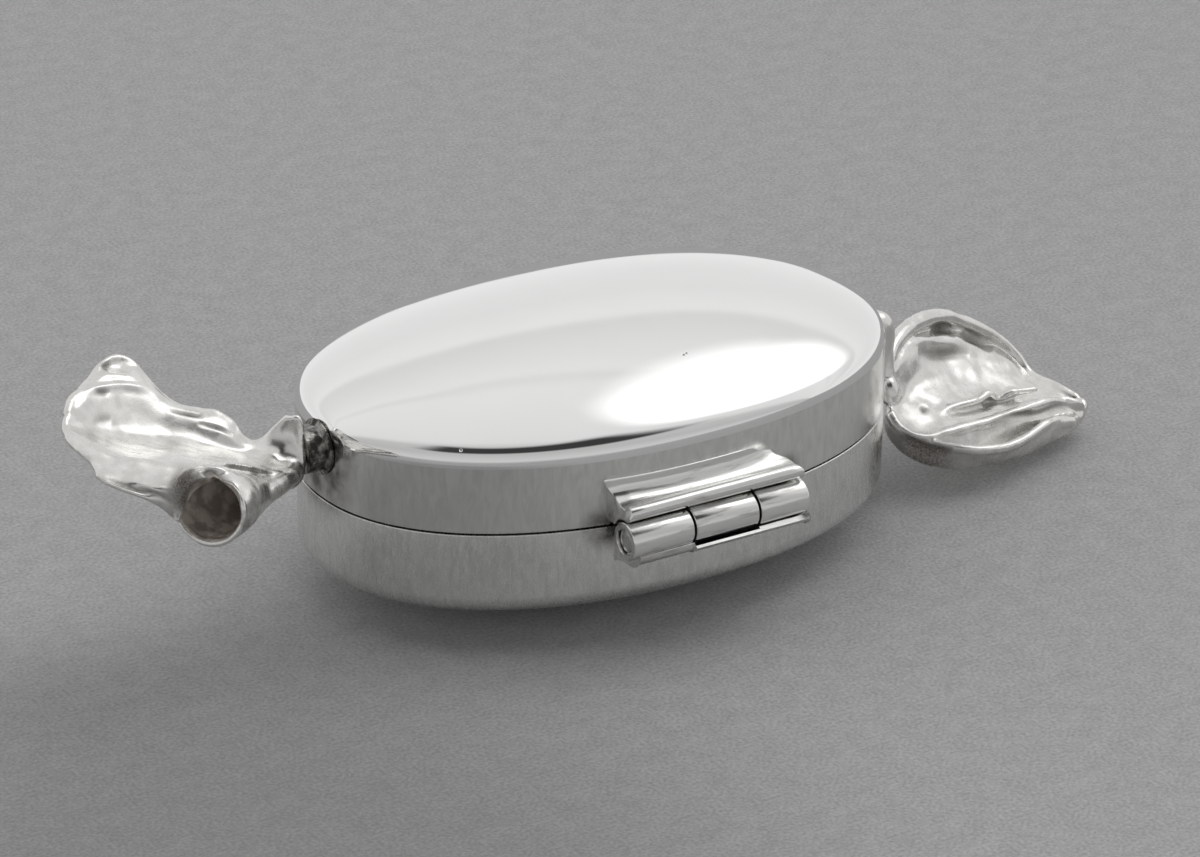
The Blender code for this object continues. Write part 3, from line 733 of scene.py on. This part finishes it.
def make_cone():
    """Paper cone, open at its mouth, whose edge falls back where the sheet rolls in."""
    rings = 24
    cone = prism(48, rings)
    bpy.ops.object.mode_set(mode="EDIT")
    bpy.ops.mesh.delete(type="ONLY_FACE")
    leave_edit()
    for corner in cone.data.vertices:
        share = corner.co.z / rings
        radius = smooth_along(flute_profile, share) / 1000
        x, y = corner.co.x * radius * cone_width, corner.co.y * radius
        off_turn = math.atan2(y, x) - rolled_in_turn
        rolled_in = rolled_in_depth * share ** 3 * math.exp(-((off_turn / rolled_in_spread) ** 2))
        corner.co = cone_start + cone_turn @ Vector((x, y, cone_length * share - rolled_in))
    face_outwards()
    return with_modifier(cone, "wall", "SOLIDIFY", thickness=cone_wall, offset=-1)


def fuse(name, parts):
    """Joins overlapping parts into one casting with an even, fine mesh."""
    pick(*parts)
    bpy.ops.object.join()
    parts[0].name = name
    return with_modifier(parts[0], "one casting", "REMESH", mode="VOXEL", voxel_size=casting_grain)


def soften(piece, rounds):
    pick(piece)
    with_modifier(piece, "softened", "SMOOTH", factor=0.5, iterations=rounds)


def press(piece, path, reach, depth, tarnish_and_shade=0):
    """Presses a line into the side of the piece that the photograph shows, or draws it out, as a chasing
    tool does. Reach and depth are in millimetres; a depth over nought draws out. Dirt stays in a pit.
    Its darkening is tarnish in the pits and painted shade along gaps, the rolled-in mouth and the underside.
    A line fades towards its ends; a single point is a dot."""
    mesh = piece.data
    count = len(mesh.vertices)
    spots, normals = np.empty((2, count, 3))
    mesh.vertices.foreach_get("co", spots.ravel())
    mesh.vertex_normals.foreach_get("vector", normals.ravel())
    toward = np.array(tool_side)
    flat = spots - np.outer(spots @ toward, toward)
    points = [place(point) for point in path]
    steps = 60 if len(points) > 1 else 1
    near, at, level = np.full(count, 1e9), np.zeros(count), np.zeros(count)
    for step in range(steps):
        spot = np.array(through(points, step / (steps - 1)) if steps > 1 else points[0])
        distance = ((flat - (spot - spot @ toward * toward)) ** 2).sum(axis=1)
        closer = distance < near
        near[closer] = distance[closer]
        at[closer] = step / max(steps - 1, 1)
        level[closer] = spot @ toward
    weight = np.exp(-near / (reach / 1000) ** 2)
    if steps > 1:
        weight *= np.sin(np.pi * at)
    # The tool bites where the surface faces it, and within 3 mm of the line's own depth
    weight *= np.clip(normals @ toward * 2 + 0.2, 0, 1)
    weight *= np.clip(3 - np.abs(spots @ toward - level) * 1000, 0, 1)
    spots += normals * (weight * depth / 1000)[:, None]
    mesh.vertices.foreach_set("co", spots.ravel())
    if tarnish_and_shade:
        darken(piece, weight * tarnish_and_shade)
    mesh.update()


def darken(piece, amounts, kind="tarnish_and_shade"):
    """Adds tarnish and painted shade, or oxide, from 0 to 1, to each corner of the piece."""
    layer = piece.data.attributes.get(kind) or piece.data.attributes.new(kind, "FLOAT", "POINT")
    before = np.empty(len(piece.data.vertices), dtype=np.float32)
    layer.data.foreach_get("value", before)
    layer.data.foreach_set("value", np.clip(before + amounts, 0, 1).astype(np.float32))


def dull_cone(piece):
    """Leaves the inside of the paper cone dull, where no polishing stick reaches."""
    clearance, fade = 0.00012, 0.00008
    amounts = []
    for corner in piece.data.vertices:
        inside = cone_turn.inverted() @ (corner.co - cone_start)
        share = inside.z / cone_length
        reach = smooth_along(flute_profile, min(max(share, 0), 1)) / 1000 - clearance
        off = math.hypot(inside.x / cone_width, inside.y)
        amounts.append(min(max((reach - off) / fade, 0), 1) if 0.35 < share < 1.02 else 0)
    darken(piece, np.array(amounts), "oxide")


def mouth_rim(turns):
    """Points in millimetres on the rim of the cone's mouth, at turns given in degrees."""
    radius = flute_profile[-1][1]
    spots = [(cone_width * math.cos(turn), math.sin(turn), 0) for turn in map(math.radians, turns)]
    return [Vector(left_mouth) + cone_turn @ Vector(spot) * radius for spot in spots]


def chase(piece, lines):
    """Gives a casting the slow waves of worked wax, then its lines as (path, reach, depth, tarnish and
    painted shade).
    """
    mesh = piece.data
    for span, height in wax_waves:
        for corner, normal in zip(mesh.vertices, [n.vector.copy() for n in mesh.vertex_normals]):
            corner.co += normal * (noise.noise(corner.co * 1000 / span) * height / 1000)
        mesh.update()
    for line in lines:
        press(piece, *line)
    soften(piece, 2)
    face_outwards()
    bpy.ops.object.shade_smooth()
    return piece


def make_left_wrapper():
    """Paper twist with its dish, the raised leaf at the back and the cone at the front."""
    piece = fuse("left_paper_twist", [
        make_sheet((left_back, left_fold, left_middle, left_ridge, left_front)),
        make_rope(left_back[1:], (0.26, 0.3, 0.34)),
        make_rope(left_back_fold, (0.28, 0.28, 0.2)),
        make_rope(left_double_rim, (0.22, 0.26, 0.2)),
        make_rope(left_front[6:], (0.18, 0.16, 0.28)),
        make_rope([row[-1] for row in (left_back, left_middle, left_front)], (0.32, 0.28, 0.26)),
        make_rope(left_flange, (0.3, 0.32, 0.26)),
        make_sheet((left_front[6:13][::-1], left_under_edge), 0.0004),
        make_rope(left_under_edge, (0.2, 0.2)),
        make_cone(),
        make_sheet((left_inner_edge, left_inner_side)),
        make_rope(left_outer_band, (0.24, 0.26, 0.22)),
        make_rope(left_swoosh, (0.4, 0.62, 0.62, 0.36)),
        make_rope(mouth_rim(range(80, -161, -20)), (0.12, 0.17, 0.17, 0.12), 4),
    ])
    soften(piece, 3)
    dull_cone(piece)
    return chase(piece, (
        # The crescent over the cone and the gap under the front rim are darkened as painted shade between the
        # layers
        (left_crescent, 0.2, -0.45, 1),
        (left_soft_ridge, 0.3, 0.1),
        (left_gap, 0.13, -0.25, 0.8),
        (left_pocket, 0.5, -0.2),
        # The roll-in and the inner side of the mouth are darkened as painted shade where the sheet rolls into
        # the cone
        (left_roll_in, 0.5, -0.08, 0.6),
        (left_inner_side, 0.9, 0, 1),
        (left_leaf_hollow, 0.4, -0.35),
        (left_leaf_hollow[:2], 0.22, -0.1, 0.9),
        (left_leaf_band, 0.25, 0.15),
        (left_back_fold, 0.22, 0.22),
        (left_fold_pits, 0.2, -0.12, 0.8),
        (left_rim_pits, 0.13, -0.25, 0.9),
        (left_saddle_pits, 0.11, -0.15, 0.9),
        (left_dish_patch, 0.3, -0.06, 0.35),
    ))


def make_right_wrapper():
    """Paper twist lying lower, with a rolled back, two ridges and a slit pod at the front."""
    piece = fuse("right_paper_twist", [
        make_sheet((right_back, right_valley, right_inner_roll, right_fold, right_middle, right_front)),
        make_rope(right_back[1:], (0.4, 0.54, 0.62, 0.48, 0.36, 0.34, 0.4)),
        make_rope(right_inner_roll[2:11], (0.22, 0.34, 0.38, 0.24, 0.36, 0.34, 0.2)),
        make_rope(right_first_ridge, (0.18, 0.26, 0.2, 0.28, 0.24)),
        make_rope(right_front, (0.4, 0.36, 0.3)),
        make_sheet((right_under_back, right_keel, right_lip), 0.00045),
        make_rope(right_lip, (0.26, 0.34, 0.3)),
        make_rope(right_bead, (0.36, 0.4)),
        make_rope(right_tip, (0.5, 0.95, 1.15, 1)),
        make_rope(
            [row[-1] for row in (right_back, right_fold, right_front, right_keel)], (0.42, 0.46, 0.46, 0.36),
        ),
        make_sheet((right_belly_top, right_belly)),
        make_rope(right_neck, (1.45, 1.5, 1.2, 0.85, 0.62, 0.55, 0.5)),
    ])
    soften(piece, 7)
    return chase(piece, (
        (right_neck_bump, 0.8, 0.35),
        ((right_boss,), 0.6, 0.06),
        ((right_boss,), 0.22, -0.2, 0.8),
        (right_first_groove, 0.25, -0.35, 0.3),
        (right_first_ridge, 0.2, 0.3),
        (right_hollow, 0.45, -0.3, 0.8),
        # The belly is darkened all over, partly tarnish and solder, partly painted shade under the wrapper
        (right_belly, 1.5, -0.1, 1),
        (right_belly_pits, 0.3, -0.3, 1),
        (right_slit_left, 0.28, -0.5, 0.9),
        (right_slit_right, 0.28, -0.5, 0.9),
        (right_pod_slit, 0.22, -0.2, 0.8),
    ))


dress(make_left_wrapper(), cast_silver, "lid", "left_wrapper")
dress(make_right_wrapper(), cast_silver, "lid", "right_wrapper")


# Hinge: three knuckles of drawn tube on a wire pin, carried by a coved flange over them and a trough under

knuckle_radius = 0.00122
bore_radius = 0.00068
countersink_radius = 0.00085
bearer_depth = 0.0006
flange_top = 0.00338
knuckle_gap = 0.00015
bead_radius = 0.00047
bead_centre = (0.00016, 0.00182)
trough_radius = 0.00172
trough_foot = 0.00210
cove_end_lean = 0.0014
solder_width = 0.00006


def make_round(name, start, rings):
    """Turned part along the hinge: a circle drawn through rings given as (radius, place along the axis)."""
    piece = circle(96, rings[0][0], "NOTHING", name)
    edit_all()
    bpy.ops.transform.translate(value=(0, 0, rings[0][1]))
    first, *others = [(radius, radius, along) for radius, along in rings]
    oval_steps(first, others)
    finish(piece, 30)
    piece.rotation_euler = (0, math.radians(90), 0)
    piece.location = (start, hinge_axis.y, hinge_axis.z)
    bpy.ops.object.transform_apply(location=True, rotation=True, scale=True)
    return piece


def make_knuckle(name, node):
    """Length of tube with its ends broken by a file."""
    low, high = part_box(node)
    length = high.x - low.x
    edge = 0.00012
    flat = countersink_radius
    turned = [
        (bore_radius, 0.0005), (flat, 0.00049), (flat + 0.00001, 0.00003), (flat + 0.00004, 0),
        (knuckle_radius - edge, 0),
    ]
    turned += [
        (knuckle_radius - edge + edge * math.sin(turn), edge - edge * math.cos(turn)) for turn in quarter[1:]
    ]
    turned += [(radius, length - along) for radius, along in reversed(turned)]
    return make_round(name, low.x, turned + turned[:1])


def make_pin():
    """Wire pin, its ends spread a little and rubbed round."""
    low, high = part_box("hinge_pin")
    length, radius = high.x - low.x, (high.z - low.z) / 2
    head = countersink_radius - 0.0001
    ends = [
        (0.00002, 0), (head * 0.55, 0.00002), (head * 0.86, 0.00005), (head * 0.97, 0.00010),
        (head, 0.00016), (head - 0.00001, 0.00044), (radius, 0.00046),
    ]
    return make_round("rivet_pin", low.x, ends + [(r, length - along) for r, along in reversed(ends)])


def swept(centre, radius, start, end, steps):
    """Points round a centre as (outward, up), between two angles in degrees."""
    turns = [math.radians(start + (end - start) * step / steps) for step in range(steps + 1)]
    return [(centre[0] + radius * math.cos(turn), centre[1] + radius * math.sin(turn)) for turn in turns]


def quarter_cove(top, foot, steps):
    """Hollow quarter sweep from a point on the wall to a point away from it, as (outward, up)."""
    turns = [math.pi / 2 * step / steps for step in range(steps + 1)]
    return [
        (foot[0] - (foot[0] - top[0]) * math.cos(turn), top[1] + (foot[1] - top[1]) * math.sin(turn))
        for turn in turns
    ]


def wall_face(x):
    """How far the wall's outer face lies outward of the hinge axis, which is a number below zero."""
    reach = half_width * (1 - abs(x / half_length) ** oval_power) ** (1 / oval_power)
    return reach + hinge_axis.y


def flange_outline(x, inner):
    """Cross-section of the flange at a place along the hinge, as (outward, up) from the hinge axis."""
    bead = swept(bead_centre, bead_radius, 150, -85, 20)
    back = wall_face(x) - bearer_depth
    foot = wall_face(x) + solder_width
    return (
        [(back, flange_top), (foot - 0.0001, flange_top), (foot - 0.00003, flange_top - 0.00005)]
        + quarter_cove((foot, flange_top - 0.00015), bead[0], 16)[:-1]
        + bead
        + swept((0, 0), inner, 97, 150, 8)
        + [(back, inner * math.sin(math.radians(150)))]
    )


def trough_outline(x, inner, lip_radius, lip_angle):
    """Cross-section of the trough, whose outer side starts below the axis and narrows to its lip."""
    lowest = -93
    outer = []
    for step in range(15):
        turn = math.radians(lowest + (lip_angle - lowest) * step / 14)
        radius = trough_radius + (lip_radius - trough_radius) * (step / 14) ** 2
        outer.append((radius * math.cos(turn), radius * math.sin(turn)))
    back = wall_face(x) - bearer_depth
    return (
        [(back, -trough_foot)]
        + quarter_cove((wall_face(x) + solder_width, -trough_foot), outer[0], 12)[:-1]
        + outer
        + swept((0, 0), inner, lip_angle, -150, 18)
        + [(back, -inner / 2)]
    )


def inset_outline(outline, amount):
    """Outline drawn in by a small amount all round, for softened ends."""
    drawn = []
    for (x0, y0), (x, y), (x1, y1) in zip(outline[-1:] + outline, outline, outline[1:] + outline[:1]):
        span = math.hypot(x1 - x0, y1 - y0)
        drawn.append((x + amount * (y1 - y0) / span, y - amount * (x1 - x0) / span))
    return drawn


def make_bearer(name, sections, lean):
    """Bar along the hinge through sections given as (x, outline); lean moves a corner's x by its height."""
    count = len(sections[0][1])
    piece = prism(count, len(sections) - 1, name)
    for corner in piece.data.vertices:
        at = round(math.atan2(corner.co.y, corner.co.x) / math.tau * count) % count
        x, outline = sections[round(corner.co.z)]
        outward, up = outline[at]
        corner.co = (x + lean(x, up), hinge_axis.y - outward, hinge_axis.z + up)
    return finish(piece, 25)


def softened_ends(sections):
    """The sections with their first and last drawn in over the last tenth of a millimetre."""
    soft = 0.00009

    def end(section, way):
        x, outline = section
        return [
            (x + way * soft * along, inset_outline(outline, soft * drawn))
            for along, drawn in ((0, 1), (0.35, 0.3), (1, 0))
        ]

    return end(sections[0], 1) + sections[1:-1] + end(sections[-1], -1)[::-1]


def along_hinge(runs, outline):
    """Sections of a bearer for runs given as (start, end, what the outline needs), a millimetre apart."""
    sections = []
    for start, end, *needs in runs:
        count = max(1, round((end - start) * 1000))
        for step in range(count + 1):
            x = start + (end - start) * step / count
            sections.append((x, outline(x, *needs)))
    return sections


def hinge_places(bearer):
    """Places along the hinge: the bearer's start, the gaps beside the middle knuckle, the bearer's end."""
    (low, high), (middle_low, middle_high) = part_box(bearer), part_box("lid_knuckle")
    return low.x, middle_low.x - knuckle_gap / 2, middle_high.x + knuckle_gap / 2, high.x


def make_lid_flange():
    """Flange soldered to the lid wall: a hollow sweep that ends in a round bead over the knuckles."""
    start, left, right, end = hinge_places("lid_hinge_bearer")
    free, held = knuckle_radius + 0.00015, knuckle_radius + 0.00005
    sections = along_hinge(((start, left, free), (left, right, held), (right, end, free)), flange_outline)
    lean_foot = 0.0017

    def lean(x, up):
        rise = min(max(0, (up - lean_foot) / (flange_top - lean_foot)), 1)
        if x > right:
            notch = smooth_along(((0, 0), (0.25, 0), (0.5, 1), (1, 1)), rise)
            return -cove_end_lean * (0.55 * rise + 0.45 * notch) * (x - right) / (end - right)
        if x < left:
            return 0.00022 * math.sin(rise * math.pi * 1.6) * (left - x) / (left - start)
        return 0

    return make_bearer("lid_flange", softened_ends(sections), lean)


def make_base_trough():
    """Trough soldered to the base wall: it holds the outer knuckles and clears the middle one."""
    start, left, right, end = hinge_places("base_hinge_bearer")
    sections = along_hinge((
        (start, left, knuckle_radius + 0.00002, knuckle_radius + 0.00007, -38),
        (left + 0.00004, right, knuckle_radius + 0.00026, knuckle_radius + 0.00044, -40),
        (right, end, knuckle_radius + 0.00010, knuckle_radius + 0.00042, -41),
    ), trough_outline)
    return make_bearer("base_trough", softened_ends(sections), lambda x, up: 0)


for name, node, body in (
    ("left_knuckle", "base_knuckle_left", "base"),
    ("middle_knuckle", "lid_knuckle", "lid"),
    ("right_knuckle", "base_knuckle_right", "base"),
):
    dress(make_knuckle(name, node), hinge_silver, body, node)
dress(make_pin(), pin_silver, "base", "hinge_pin")
dress(make_lid_flange(), hinge_silver, "lid", "lid_hinge_bearer")
dress(make_base_trough(), hinge_silver, "base", "base_hinge_bearer")


finishes = {"stem": stem_silver, "wrapper": cast_silver, "pin": pin_silver}
for name, node in frame["nodes"].items():
    cover(node, finishes.get(name.split("_")[-1], hinge_silver))


# Camera at the photograph's place

def direction(azimuth, elevation):
    """The way to a place in the sky, as (x, y, z); azimuth is counted from -Y towards +X, in degrees."""
    azimuth, elevation = math.radians(azimuth), math.radians(elevation)
    return (
        math.sin(azimuth) * math.cos(elevation),
        -math.cos(azimuth) * math.cos(elevation),
        math.sin(elevation),
    )


image_width = 1200
camera_distance = 0.3193
camera_roll = math.radians(0.25)
back = Vector(direction(-32.1, 24.4))
camera_data = bpy.data.cameras.new("camera")
camera_data.lens = 150
camera_data.sensor_width = 36
camera_data.shift_x = 6.3 / image_width
camera_data.shift_y = -0.8 / image_width
camera = bpy.data.objects.new("camera", camera_data)
bpy.context.scene.collection.objects.link(camera)
camera.location = Vector((0, 0, split_level)) + back * camera_distance
aim = (-back).to_track_quat("-Z", "Y").to_matrix()
camera.rotation_euler = (aim @ Matrix.Rotation(camera_roll, 3, "Z")).to_euler()
bpy.context.scene.camera = camera


# Felt, light tent and softbox

def make_felt():
    """Grey wool felt under the box, its short fibres giving a fine soft grain, with a painted shadow
    darkening it to the front left of the box.
    """
    felt = circle(128, 0.25, name="felt")
    material, tree, shader = surface("grey wool felt", 0)
    feed(tree, shader, {"Specular IOR Level": 0.1})
    fibres = unevenness(tree, (0.24, 0.24, 0.24), 3)
    clumps = unevenness(tree, (1.6, 1.6, 1.6), 3)
    mixed = add(tree, "Mix", {0: 0.25, 2: fibres, 3: clumps}).outputs[0]
    # Painted shadow of the box and the left wrapper, darkening the felt to the front left
    painted_shadow = reckon(tree, "MULTIPLY", near_place(tree, (-0.042, -0.030, 0), 12, 46), 0.4)
    wool = blended(tree, between(tree, mixed, 0, 1, 0.36, 0.64), srgb("#a9a9a9"), srgb("#c5c5c5"))
    coat(tree, shader, blended(tree, painted_shadow, wool, srgb("#606060")), 0.95)
    relief(tree, shader, (fibres, 0.00006))
    cover(felt, material)


def make_tent():
    """Light tent: pale panels in an arch from before the camera to behind it, with seams and a darker
    floor, a softbox on one side and a dark bar over the camera."""
    world = bpy.data.worlds.new("light tent")
    bpy.context.scene.world = world
    world.use_nodes = True
    tree = world.node_tree
    way = add(tree, "TexCoord").outputs["Generated"]
    turned = add(tree, "VectorRotate", {
        "Vector": way, "Axis": (0, 0, 1), "Angle": -math.radians(90 - 32),
    }, rotation_type="AXIS_ANGLE").outputs[0]
    away, _, up = add(tree, "SeparateXYZ", {"Vector": turned}).outputs
    arch = between(tree, reckon(tree, "ARCTAN2", up, away), 0, 1, -math.pi, math.pi)
    panels = add(tree, "ValToRGB", {"Fac": arch})
    stops = (
        (-180, "#a0a0a0"), (-20, "#a0a0a0"), (-12, "#e8e8e8"), (0, "#ebebeb"), (12, "#e4e4e4"),
        (24, "#e2e2e2"), (36, "#e9e9e9"), (38.5, "#d9d9d9"), (56, "#e7e7e7"), (58, "#dcdcdc"),
        (61, "#e6e6e6"), (98, "#dedede"), (112, "#c0c0c0"), (140, "#b8b8b8"), (172, "#cccccc"),
        (180, "#a0a0a0"),
    )
    ramp = panels.color_ramp
    while len(ramp.elements) < len(stops):
        ramp.elements.new(1)
    for element, (angle, tone) in zip(ramp.elements, stops):
        element.position = (angle + 180) / 360
        element.color = srgb(tone)
    lit = blended(tree, spot_share(tree, way, 92, 50, 14, 9), panels.outputs[0], (2.0, 2.0, 2.0, 1))
    x, y, z = add(tree, "SeparateXYZ", {"Vector": way}).outputs
    azimuth = reckon(tree, "ARCTAN2", x, reckon(tree, "MULTIPLY", y, -1.0))
    bar = 1
    for value, start, end in (
        (azimuth, math.radians(-84), math.radians(-60)), (azimuth, math.radians(52), math.radians(28)),
        (z, 0.64, 0.73), (z, 0.95, 0.89),
    ):
        bar = reckon(tree, "MULTIPLY", bar, eased(tree, value, 0, 1, start, end))
    feed(tree, tree.nodes["Background"], {"Color": blended(tree, bar, lit, srgb("#3a3a3a"))})


def spot_share(tree, way, azimuth, elevation, radius, softness):
    """How far a direction lies inside a round patch of the sky, from 0 to 1, with a soft edge."""
    near = add(tree, "VectorMath", {0: way, 1: direction(azimuth, elevation)}, operation="DOT_PRODUCT")
    rim, core = math.cos(math.radians(radius + softness)), math.cos(math.radians(radius - softness))
    return eased(tree, near.outputs["Value"], 0, 1, rim, core)


make_felt()
make_tent()
bpy.context.scene.view_settings.view_transform = "Standard"
